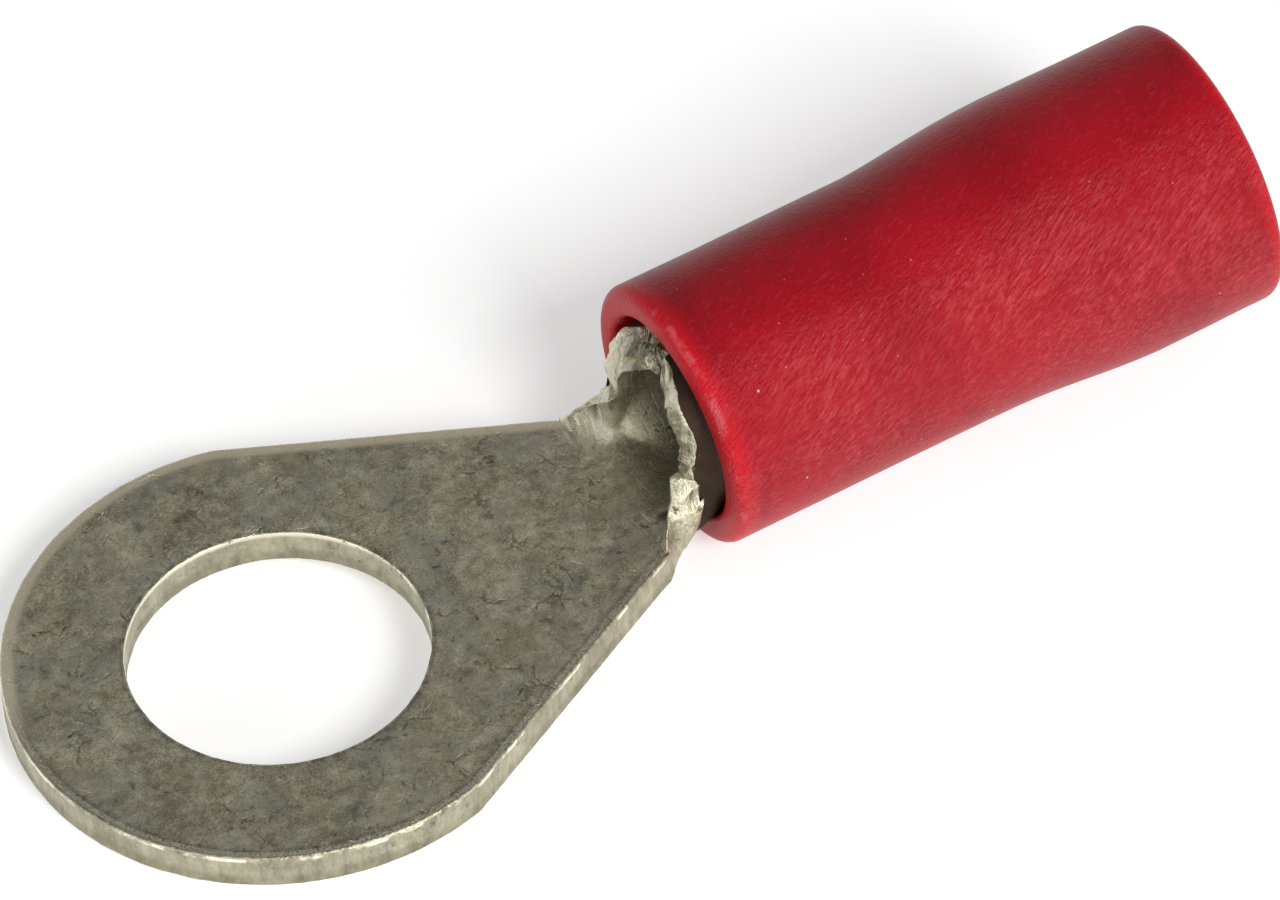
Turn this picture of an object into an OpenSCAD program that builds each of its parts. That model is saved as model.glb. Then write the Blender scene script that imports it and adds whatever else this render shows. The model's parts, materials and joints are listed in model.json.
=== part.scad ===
// Pre-insulated ring terminal for a 0.5 to 1.5 mm2 wire and an M4 stud.
// Origin: the stud hole's axis in the underside of the ring. X runs to the wire end, Z is up.

/* [Ring] */
// Width of the ring across its flat sides
ring_w = 7.8; // [7.5:0.1:8.5]
// Diameter of the stud hole
hole_d = 4.3; // [3.7:0.1:4.5]
// Thickness of the sheet that the terminal is stamped from
sheet_t = 0.55; // [0.5:0.05:0.65]

/* [Tongue] */
// Angle round the ring, from X, at which the straight sides leave it
shoulder_angle = 74; // [64:1:76]
// Distance from the hole's axis to the neck, where the sheet starts to fold up
neck_x = 5.45; // [5.25:0.1:6.45]
// Width of the sheet at the neck
neck_w = 3.04; // [2.84:0.1:3.34]

/* [Barrel] */
// Bore of the wire barrel
barrel_bore_d = 1.7; // [1.6:0.1:1.9]
// Length of the closed barrel
barrel_len = 5; // [4.5:0.1:5.5]
// Length over which the sheet's sides fold up from the neck to the barrel's front edge
fold_len = 0.6; // [0.5:0.05:1]
// Radius of the two bends at the barrel's front edge, on the sheet's middle
bend_r = 0.5; // [0.45:0.05:0.7]
// Length over which the flat-bottomed mouth turns into the round barrel
round_len = 0.5; // [0.4:0.05:0.7]
// Fillet between the side of the tongue and the front edge of the barrel
root_fillet = 0.35; // [0.2:0.05:0.5]
// How far the -Y half of the barrel's front edge stands back from the +Y half
seam_step = 0.15; // [0:0.05:0.2]
// How far the sheet's two front corners, which meet at the seam, are clipped back
corner_clip = 0.2; // [0.05:0.05:0.25]
// Width of the slit left along the seam at the barrel's mouth
seam_slit = 0.04; // [0.02:0.01:0.08]
// Width of the groove left along the brazed seam
seam_groove_w = 0.12; // [0.08:0.02:0.2]
// Depth of the groove left along the brazed seam
seam_groove_depth = 0.08; // [0.04:0.02:0.12]

/* [Sleeve] */
// Length of the insulating sleeve
sleeve_len = 8.8; // [8.5:0.1:11]
// Distance from the barrel's front edge back to the sleeve's front edge
sleeve_setback = 0.32; // [0.32:0.05:0.62]
// Radial gap between the barrel and the sleeve's front mouth
mouth_gap = 0.13; // [0.12:0.01:0.2]
// Depth of the sleeve's wider front mouth
mouth_len = 0.9; // [0.6:0.1:1.5]
// Wall of the sleeve at its front mouth
front_wall = 0.45; // [0.4:0.05:0.6]
// Largest wire insulation that the sleeve's rear takes
insulation_d = 3.3; // [3:0.1:3.8]
// Wall of the sleeve at its rear
rear_wall = 0.5; // [0.4:0.05:0.6]
// Length of the sleeve's wider rear, from the end of the flare
rear_len = 2.2; // [1.8:0.1:3]
// Length of the flare between the sleeve's two diameters
flare_len = 2.6; // [2:0.1:3]
// Radius of the sleeve's outer edges
edge_r = 0.16; // [0.1:0.02:0.2]

/* [Hidden] */

// Facets of a full circle
round_fn = 96;
// Steps along the trough and across each half of it, then the same for the barrel's mouth
trough_steps = 12;
trough_places = 13;
mouth_steps = 5;
mouth_places = 24;
// Steps along the flare and round a sleeve edge
flare_steps = 12;
edge_steps = 5;
// How far a cutting shape runs past what it cuts
over = 0.5;
// How far each stretch of sheet reaches into the next, and lies below its surfaces there
bite = 0.06;
tuck = 0.01;

ring_r = ring_w / 2;
shoulder_x = ring_r * cos(shoulder_angle);
shoulder_y = ring_r * sin(shoulder_angle);
side_angle = atan2(shoulder_y - neck_w / 2, neck_x - shoulder_x);
// Where a straight side passes closest to the hole's axis, within the ring
nearest_x = (shoulder_x * sin(side_angle) + shoulder_y * cos(side_angle)) * sin(side_angle);

barrel_r = barrel_bore_d / 2 + sheet_t;
barrel_x = neck_x + fold_len;
mid_r = (barrel_r + barrel_bore_d / 2) / 2;
round_x = barrel_x + round_len;

sleeve_x = barrel_x + sleeve_setback;
mouth_r = barrel_r + mouth_gap;
front_r = mouth_r + front_wall;
rear_r = insulation_d / 2 + rear_wall;
flare_end = sleeve_len - rear_len;
flare_start = flare_end - flare_len;
// Where the barrel ends inside the sleeve, and the length of the funnel that leads a wire into it
barrel_stop = barrel_len - sleeve_setback;
funnel_len = 0.8;

function mix(a, b, u) = a + (b - a) * u;
function clamp(u) = min(max(u, 0), 1);
function smooth(u) = u * u * (3 - 2 * u);

// The section of the folded sheet has a flat floor, two bends, two straight walls and an arched
// roof. A place on it is told by q: 0 at the middle of the floor, 1 where the roof starts and 2 at
// the seam, negative on the -Y side.
// Length of the sheet's middle from q = 0 to q = 1, where the bends have radius r.
function quarter_len(r) = 2 * (mid_r - r) + r * PI / 2;
function bend_at(x) = mix(bend_r, mid_r, smooth(clamp((x - barrel_x) / round_len)));
function fold_at(x) = 90 * clamp((x - neck_x) / fold_len) ^ 2;

// A point of the folded sheet, at h above its middle.
function sheet_point(q, x, h) =
    let(r = bend_at(x), fold = fold_at(x), flat = mid_r - r)
    let(s = abs(q) * quarter_len(r), a = min(max(s - flat, 0) / r * 180 / PI, fold))
    let(wall = max(s - flat - r * fold * PI / 180, 0), roof = 90 * (abs(q) - 1))
    let(y = abs(q) < 1 ? min(s, flat) + (r - h) * sin(a) + wall * cos(fold) : (mid_r - h) * cos(roof))
    let(z = abs(q) < 1 ? r - (r - h) * cos(a) + wall * sin(fold) : mid_r + (mid_r - h) * sin(roof))
    [x, sign(q) * y, sheet_t / 2 + z];

// Half width of the sheet at x: as wide as the neck, then along the fillet to the barrel's front.
fillet = min(root_fillet, quarter_len(bend_r) - neck_w / 2);
function half_sheet(x) =
    let(gone = clamp((x - barrel_x) / fillet + 1))
    neck_w / 2 - 2 * tuck + fillet * (1 - sqrt(1 - gone ^ 2));

// Place of the mouth's front edge along X at q. Above the fillet the -Y half steps back, in full
// from step_q on, and both corners are clipped from clip_q to the seam.
root_q = half_sheet(barrel_x) / quarter_len(bend_r);
step_q = 1.4;
clip_q = 1.6;
seam_q = 2 - seam_slit / (PI * mid_r);
function mouth_x(q) =
    let(step = q < 0 ? seam_step * smooth(clamp((-q - root_q) / (step_q - root_q))) : 0)
    barrel_x + step + corner_clip * clamp((abs(q) - clip_q) / (seam_q - clip_q));

// The mouth's stretch of sheet at q, u of the way from its front edge to the round barrel.
function mouth_point(q, u, h) = sheet_point(q, mix(mouth_x(q), round_x + bite, u), h);

// The trough's stretch of sheet at x, i of the way from its middle to its side.
function trough_point(i, x, h) = sheet_point(i * half_sheet(x) / quarter_len(bend_at(x)), x, h);

// Solid between sections of equal length, each a ring of points that starts with its underside.
module loft(sections) {
    n = len(sections[0]);
    last = len(sections) - 1;
    skin = [
        for (k = [0 : last - 1])
            for (i = [0 : n - 1])
                let(a = k * n + i, b = k * n + (i + 1) % n)
                    each [[a, a + n, b], [b, a + n, b + n]]
    ];
    // Each end is closed by triangles between the underside and the upper side.
    ends = [
        for (k = [0, last])
            for (i = [0 : n / 2 - 2])
                let(a = k * n + i, b = k * n + n - 1 - i)
                    each k == 0 ? [[a, a + 1, b], [b, a + 1, b - 1]] : [[a, b, a + 1], [b, b - 1, a + 1]]
    ];
    polyhedron([for (section = sections) each section], concat(skin, ends), convexity = 8);
}

// From the flat neck through the open trough, whose sides fold up, to the barrel's mouth.
module trough() {
    h = sheet_t / 2 - 2 * tuck;
    stations = [
        neck_x - bite,
        for (k = [0 : trough_steps]) mix(neck_x, barrel_x, k / trough_steps),
        barrel_x + bite
    ];
    across = [for (i = [-trough_places : trough_places]) i / trough_places];
    back = [for (i = [trough_places : -1 : -trough_places]) i / trough_places];
    loft([for (x = stations) [for (i = across) trough_point(i, x, -h), for (i = back) trough_point(i, x, h)]]);
}

// From the flat-bottomed mouth, closed at the seam, to the round barrel.
module mouth() {
    h = sheet_t / 2 - tuck;
    across = [for (i = [-mouth_places : mouth_places]) seam_q * i / mouth_places];
    back = [for (i = [mouth_places : -1 : -mouth_places]) seam_q * i / mouth_places];
    loft([
        for (k = [0 : mouth_steps])
            let(u = k / mouth_steps)
                [for (q = across) mouth_point(q, u, -h), for (q = back) mouth_point(q, u, h)]
    ]);
}

// Flat outline of ring and tongue, cut along the straight sides.
module blank_outline() {
    back_x = -ring_r - over;
    back_y = neck_w / 2 + (neck_x - back_x) * tan(side_angle);
    intersection() {
        union() {
            circle(ring_r, $fn = round_fn);
            translate([nearest_x, -ring_r]) square([neck_x + over - nearest_x, ring_w]);
        }
        polygon([[back_x, -back_y], [neck_x, -neck_w / 2], [neck_x, neck_w / 2], [back_x, back_y]]);
    }
}

module tongue() {
    difference() {
        linear_extrude(sheet_t) blank_outline();
        translate([0, 0, -over]) cylinder(h = sheet_t + 2 * over, d = hole_d, $fn = round_fn);
    }
}

// Puts a shape turned about Z on the barrel's axis, with its foot at x.
module on_barrel(x) {
    translate([x, 0, barrel_r]) rotate([0, 90, 0]) children();
}

// Round part of the barrel, with a groove along its brazed seam.
module barrel() {
    length = barrel_len - round_len;
    on_barrel(round_x)
        difference() {
            cylinder(h = length, r = barrel_r, $fn = round_fn);
            translate([0, 0, -over]) cylinder(h = length + 2 * over, d = barrel_bore_d, $fn = round_fn);
            translate([-barrel_r - over, -seam_groove_w / 2, -over])
                cube([over + seam_groove_depth, seam_groove_w, length + 2 * over]);
        }
}

module terminal() {
    color("lightgray") {
        tongue();
        trough();
        mouth();
        barrel();
    }
}

// Outer surface of the sleeve: front edge, flare, rear edge. Each point is radius, then length.
function sleeve_skin() = concat(
    [for (i = [0 : edge_steps]) let(a = 90 * i / edge_steps)
        [front_r - edge_r * (1 - sin(a)), edge_r * (1 - cos(a))]],
    [for (i = [0 : flare_steps]) let(u = i / flare_steps)
        [mix(front_r, rear_r, smooth(u)), mix(flare_start, flare_end, u)]],
    [for (i = [0 : edge_steps]) let(a = 90 * i / edge_steps)
        [rear_r - edge_r * (1 - cos(a)), sleeve_len - edge_r * (1 - sin(a))]]
);

// Bore of the sleeve, from its rear to its front: insulation seat, funnel, barrel seat and mouth.
function sleeve_bore() = [
    [insulation_d / 2 + edge_r / 2, sleeve_len],
    [insulation_d / 2, sleeve_len - edge_r],
    [insulation_d / 2, barrel_stop + funnel_len],
    [barrel_r, barrel_stop],
    [barrel_r, mouth_len + mouth_gap],
    [mouth_r, mouth_len],
    [mouth_r, edge_r / 2],
    [mouth_r + edge_r / 2, 0]
];

module sleeve() {
    color("firebrick")
        on_barrel(sleeve_x)
            rotate_extrude($fn = round_fn)
                polygon(concat(sleeve_skin(), sleeve_bore()));
}

terminal();
sleeve();
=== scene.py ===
"""Pre-insulated ring terminal: detailed pieces, finishes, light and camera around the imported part."""

from __future__ import annotations

import json
import logging
import math
from collections.abc import Callable, Sequence
from dataclasses import dataclass
from enum import Enum

import bmesh
import bpy
from mathutils import Matrix, Vector, noise

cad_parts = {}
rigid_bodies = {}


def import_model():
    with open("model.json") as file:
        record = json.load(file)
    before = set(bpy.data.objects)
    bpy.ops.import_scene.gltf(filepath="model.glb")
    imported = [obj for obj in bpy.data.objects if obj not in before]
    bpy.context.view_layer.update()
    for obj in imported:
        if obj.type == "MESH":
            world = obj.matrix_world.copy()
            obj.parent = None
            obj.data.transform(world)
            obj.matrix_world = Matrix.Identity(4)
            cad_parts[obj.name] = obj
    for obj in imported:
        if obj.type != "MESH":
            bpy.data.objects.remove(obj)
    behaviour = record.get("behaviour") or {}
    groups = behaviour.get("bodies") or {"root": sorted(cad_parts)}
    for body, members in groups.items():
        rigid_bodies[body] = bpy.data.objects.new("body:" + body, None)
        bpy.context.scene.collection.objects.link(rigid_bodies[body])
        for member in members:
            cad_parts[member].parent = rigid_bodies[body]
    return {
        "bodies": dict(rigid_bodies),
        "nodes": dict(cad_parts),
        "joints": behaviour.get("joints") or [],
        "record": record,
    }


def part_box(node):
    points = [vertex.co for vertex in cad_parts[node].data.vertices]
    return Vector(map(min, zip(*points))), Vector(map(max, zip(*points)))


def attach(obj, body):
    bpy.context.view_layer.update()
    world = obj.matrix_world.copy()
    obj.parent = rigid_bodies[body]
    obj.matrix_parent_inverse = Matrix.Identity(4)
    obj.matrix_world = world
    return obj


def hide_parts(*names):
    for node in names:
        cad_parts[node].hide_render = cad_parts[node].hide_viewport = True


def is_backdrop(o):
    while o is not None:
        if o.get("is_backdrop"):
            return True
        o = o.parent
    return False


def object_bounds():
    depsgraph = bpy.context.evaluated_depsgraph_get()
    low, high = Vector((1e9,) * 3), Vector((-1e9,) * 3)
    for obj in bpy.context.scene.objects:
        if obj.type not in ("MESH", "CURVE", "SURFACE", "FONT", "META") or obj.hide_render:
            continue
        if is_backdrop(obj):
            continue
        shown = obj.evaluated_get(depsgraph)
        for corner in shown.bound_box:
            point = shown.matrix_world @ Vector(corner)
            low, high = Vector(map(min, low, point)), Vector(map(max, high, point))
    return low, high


log = logging.getLogger("ring_terminal")

MM = 0.001
BODY = "root"
WEAR_SEED = 5
# Vertices are told apart by their places, rounded to a hundredth of a micrometre.
STEPS_PER_METRE = 1e8
# Slack when places in millimetres are compared: in a mesh, and between worked-out numbers.
HAIR = 1e-4
TINY = 1e-9
# Distances in millimetres under which vertices merge, before and after the rim is cut finer.
MERGE = 0.0005
FINE_MERGE = 0.0003

Colour = tuple[float, float, float]
Socket = bpy.types.NodeSocket
Piece = bpy.types.Object
Edge = bmesh.types.BMEdge
Part = bmesh.types.BMEdge | bmesh.types.BMFace


class Slot(Enum):
    """Material slots of the record that the pieces take their finish from."""

    COPPER = "tinned_copper"
    VINYL = "red_vinyl"


class Face(Enum):
    """Places in the terminal's material list."""

    SHEET = 0
    CUT = 1


def clamp(value: float) -> float:
    """Value held between 0 and 1."""
    return min(max(value, 0.0), 1.0)


def smooth(value: float) -> float:
    """Smooth step of a value between 0 and 1."""
    return value * value * (3.0 - 2.0 * value)


def mix(start: float, end: float, share: float) -> float:
    """Value that lies share of the way from start to end."""
    return start + (end - start) * share


def steps(start: float, end: float, count: int) -> list[float]:
    """The ends of count equal steps from start to end."""
    return [mix(start, end, k / count) for k in range(1, count + 1)]


def ripple(place: float, seed: float) -> float:
    """Uneven value of about -1 to 1 along a line, the same on every run."""
    return noise.noise(Vector((place, seed, 0.0))) + noise.noise(Vector((place * 2.0, seed, 7.3))) / 2.0


# --- working by hand, in code


def deselect() -> None:
    """Deselects every object, so that the next operator acts on new work only."""
    bpy.ops.object.select_all(action="DESELECT")


def pick(piece: Piece) -> None:
    """Makes one object the selected and active one.

    Args:
        piece: The object.
    """
    deselect()
    piece.select_set(True)
    bpy.context.view_layer.objects.active = piece


def start_ring(name: str, sides: int, radius: float, matrix: Matrix) -> Piece:
    """Adds an open circle primitive and stays in edit mode with all of it selected.

    Args:
        name: Name of the new piece.
        sides: Vertices of the circle.
        radius: Its radius in metres.
        matrix: Where the circle is put and how it is turned.

    Returns:
        The new object, in edit mode.
    """
    deselect()
    bpy.ops.mesh.primitive_circle_add(vertices=sides, radius=radius, fill_type="NOTHING")
    piece = bpy.context.object
    piece.name = name
    piece.data.name = name
    bpy.ops.object.mode_set(mode="EDIT")
    bpy.ops.mesh.select_mode(type="VERT")
    bpy.ops.mesh.select_all(action="SELECT")
    move_selected(piece, lambda co: matrix @ co)
    return piece


def move_selected(piece: Piece, place: Callable[[Vector], Vector]) -> None:
    """Moves the selected vertices of a piece, each to its own place.

    Args:
        piece: A piece in edit mode.
        place: Gives a vertex's new place from its present one, in metres.
    """
    work = bmesh.from_edit_mesh(piece.data)
    for vertex in work.verts:
        if vertex.select:
            vertex.co = place(vertex.co)
    bmesh.update_edit_mesh(piece.data)


def place_key(co: Vector) -> tuple[int, ...]:
    """Place of a vertex as whole numbers, by which it is found again."""
    return tuple(round(part * STEPS_PER_METRE) for part in co)


def extrude_to(piece: Piece, current: Sequence[Vector], targets: Sequence[Vector]) -> None:
    """Extrudes the selected edges and moves the new vertices.

    Args:
        piece: A piece in edit mode.
        current: Places of the selected vertices, in metres.
        targets: Where the vertex that is extruded from each of them goes.
    """
    bpy.ops.mesh.extrude_edges_move()
    goals = {place_key(co): target for co, target in zip(current, targets)}
    move_selected(piece, lambda co: goals[place_key(co)])


def select_parts(piece: Piece, wanted: Callable[[Part], bool], kind: str = "EDGE") -> None:
    """Selects the edges or faces of a piece that pass a test, and nothing else.

    Args:
        piece: A piece in edit mode.
        wanted: Test of one edge or face.
        kind: EDGE or FACE.
    """
    bpy.ops.mesh.select_mode(type=kind)
    bpy.ops.mesh.select_all(action="DESELECT")
    work = bmesh.from_edit_mesh(piece.data)
    for part in work.faces if kind == "FACE" else work.edges:
        if wanted(part):
            part.select_set(True)
    bmesh.update_edit_mesh(piece.data)


def finish_mesh(piece: Piece, merge: float, smooth_angle: float) -> None:
    """Merges doubles, turns the faces outward, leaves edit mode and smooths by angle.

    Args:
        piece: A piece in edit mode.
        merge: Distance under which vertices merge, in millimetres.
        smooth_angle: Edges sharper than this stay sharp, in degrees.
    """
    bpy.ops.mesh.select_all(action="SELECT")
    bpy.ops.mesh.remove_doubles(threshold=merge * MM)
    bpy.ops.mesh.normals_make_consistent(inside=False)
    bpy.ops.object.mode_set(mode="OBJECT")
    pick(piece)
    bpy.ops.object.shade_smooth_by_angle(angle=math.radians(smooth_angle))


def apply_modifier(piece: Piece, kind: str, **settings: object) -> None:
    """Adds a modifier and applies it.

    Args:
        piece: The piece that it changes.
        kind: The modifier's type.
        settings: Its settings by name.
    """
    pick(piece)
    modifier = piece.modifiers.new(kind.lower(), kind)
    for name, value in settings.items():
        setattr(modifier, name, value)
    bpy.ops.object.modifier_apply(modifier=modifier.name)


# --- shader nodes


class Value:
    """A number socket of a material, with arithmetic that adds Math nodes."""

    def __init__(self, finish: NodeWork, socket: Socket) -> None:
        """Keeps the material's node work and the socket."""
        self.finish = finish
        self.socket = socket

    def math(self, operation: str, other: Value | float | None = None) -> Value:
        """Adds one Math node after this value.

        Args:
            operation: The Math node's operation.
            other: Second input, or None.

        Returns:
            The node's value.
        """
        inputs: dict[int | str, object] = {0: self}
        if other is not None:
            inputs[1] = other
        return self.finish.value("Math", inputs, operation=operation)

    def __add__(self, other: Value | float) -> Value:
        """Sum of two values."""
        return self.math("ADD", other)

    def __sub__(self, other: Value | float) -> Value:
        """Difference of two values."""
        return self.math("SUBTRACT", other)

    def __rsub__(self, other: float) -> Value:
        """A number less a value."""
        return self.math("MULTIPLY", -1.0).math("ADD", other)

    def __mul__(self, other: Value | float) -> Value:
        """Product of two values."""
        return self.math("MULTIPLY", other)

    __radd__ = __add__
    __rmul__ = __mul__

    def clamp(self) -> Value:
        """The value held between 0 and 1."""
        return self.finish.value("Clamp", {0: self})

    def band(self, low: float, high: float) -> Value:
        """Share of the way from low to high, smoothed and held between 0 and 1."""
        inputs = {"Value": self, "From Min": low, "From Max": high}
        return self.finish.value("MapRange", inputs, interpolation_type="SMOOTHSTEP")

    def fade(self, low: float, high: float) -> Value:
        """What band leaves of 1, so that it falls from low to high."""
        return 1.0 - self.band(low, high)

    def stripe(self, low: float, full: float, waning: float, high: float) -> Value:
        """Rises from low to full and falls from waning to high."""
        return self.band(low, full) * self.fade(waning, high)

    def reach(self, other: Value) -> Value:
        """Distance that this value and another, square to it, make together."""
        return (self * self + other * other).math("SQRT")


class NodeWork:
    """Builds the nodes of one material or world."""

    def __init__(self, tree: bpy.types.NodeTree) -> None:
        """Clears the node tree that the work is done in."""
        self.tree = tree
        tree.nodes.clear()

    def node(self, kind: str, inputs: dict[int | str, object], **settings: object) -> bpy.types.Node:
        """Adds one node.

        Args:
            kind: The node's type, without the ShaderNode that all begin with.
            inputs: Its inputs by name or place, each a value, a socket or a plain number.
            settings: Its settings by name.

        Returns:
            The new node.
        """
        made = self.tree.nodes.new(f"ShaderNode{kind}")
        for name, setting in settings.items():
            setattr(made, name, setting)
        for key, given in inputs.items():
            socket = made.inputs[key]
            if isinstance(given, Value):
                self.tree.links.new(given.socket, socket)
            elif isinstance(given, Socket):
                self.tree.links.new(given, socket)
            else:
                socket.default_value = given
        return made

    def value(self, kind: str, inputs: dict[int | str, object], **settings: object) -> Value:
        """Adds one node and gives its first output as a value."""
        return Value(self, self.node(kind, inputs, **settings).outputs[0])

    def place(self) -> Socket:
        """Object coordinates in millimetres, as a vector socket."""
        where = self.node("TexCoord", {}).outputs["Object"]
        return self.node("VectorMath", {0: where, "Scale": 1.0 / MM}, operation="SCALE").outputs[0]

    def axes(self, where: Socket) -> list[Value]:
        """The X, Y and Z of a vector socket."""
        return [Value(self, part) for part in self.node("SeparateXYZ", {0: where}).outputs]

    def mapped(
        self,
        where: Socket,
        turn: Sequence[float] = (0, 0, 0),
        scale: Sequence[float] = (1, 1, 1),
        move: Sequence[float] = (0, 0, 0),
    ) -> Socket:
        """Coordinates of a pattern on axes of its own.

        Args:
            where: The coordinates that it lies on.
            turn: Its turn about X, Y and Z, in degrees.
            scale: How much closer it is packed along each of its own axes.
            move: Where its middle is.

        Returns:
            The pattern's coordinates.
        """
        angles = [math.radians(angle) for angle in turn]
        spans = [1.0 / part for part in scale]
        inputs = {"Vector": where, "Rotation": angles, "Scale": spans, "Location": list(move)}
        return self.node("Mapping", inputs, vector_type="TEXTURE").outputs[0]

    def warped(self, where: Socket, scale: float, detail: float, reach: float) -> Socket:
        """Coordinates that noise shifts about.

        Args:
            where: The coordinates.
            scale: Scale of the noise.
            detail: Its detail.
            reach: How far it shifts them at most.

        Returns:
            The shifted coordinates.
        """
        shift = self.node("TexNoise", {"Vector": where, "Scale": scale, "Detail": detail})
        inputs = {0: shift.outputs["Color"], 1: (reach, reach, reach), 2: where}
        return self.node("VectorMath", inputs, operation="MULTIPLY_ADD").outputs[0]

    def noise(self, where: Socket, scale: float, detail: float = 3.0, rough: float = 0.55) -> Value:
        """Noise of a scale given in ripples per millimetre."""
        inputs = {"Vector": where, "Scale": scale, "Detail": detail, "Roughness": rough}
        return self.value("TexNoise", inputs)

    def cells(self, where: Socket, scale: float, feature: str = "F1") -> Value:
        """Distance pattern of scattered points, scale of them per millimetre."""
        return self.value("TexVoronoi", {"Vector": where, "Scale": scale}, feature=feature)

    def blend(self, share: Value, first: Socket | Colour, second: Socket | Colour) -> Socket:
        """Mixes two colours.

        Args:
            share: Share of the second colour, which the node holds between 0 and 1.
            first: First colour.
            second: Second colour.

        Returns:
            The mixed colour.
        """
        made = self.node("Mix", {"Factor": share}, data_type="RGBA")
        for name, given in (("A", first), ("B", second)):
            socket = next(item for item in made.inputs if item.name == name and item.type == "RGBA")
            if isinstance(given, Socket):
                self.tree.links.new(given, socket)
            else:
                socket.default_value = (*given, 1.0)
        return next(item for item in made.outputs if item.type == "RGBA")

    def layers(self, colour: Socket, *coats: tuple[Value, Colour]) -> Socket:
        """Lays coats over a colour, one after the other.

        Args:
            colour: The colour below.
            coats: Share and colour of each coat.

        Returns:
            The colour on top.
        """
        for share, coat in coats:
            colour = self.blend(share, colour, coat)
        return colour

    def surface(self, colour: Socket, rough: Value, height: Value, depth: float, **fixed: float) -> None:
        """Adds the shader, its relief and the output.

        Args:
            colour: The colour.
            rough: The roughness.
            height: The relief, from 0 to 1.
            depth: What a height of 1 stands for, in millimetres.
            fixed: Sockets of the shader that are the same all over, by name.
        """
        relief = self.node("Bump", {"Height": height, "Distance": depth * MM, "Strength": 1.0})
        inputs = {"Base Color": colour, "Roughness": rough, "Normal": relief.outputs[0], **fixed}
        shader = self.node("BsdfPrincipled", inputs)
        self.node("OutputMaterial", {"Surface": shader.outputs[0]})


def new_material(name: str) -> tuple[bpy.types.Material, NodeWork]:
    """Adds a material.

    Args:
        name: Its name.

    Returns:
        The material, and the node work that fills it.
    """
    material = bpy.data.materials.new(name)
    material.use_nodes = True
    return material, NodeWork(material.node_tree)


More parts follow.
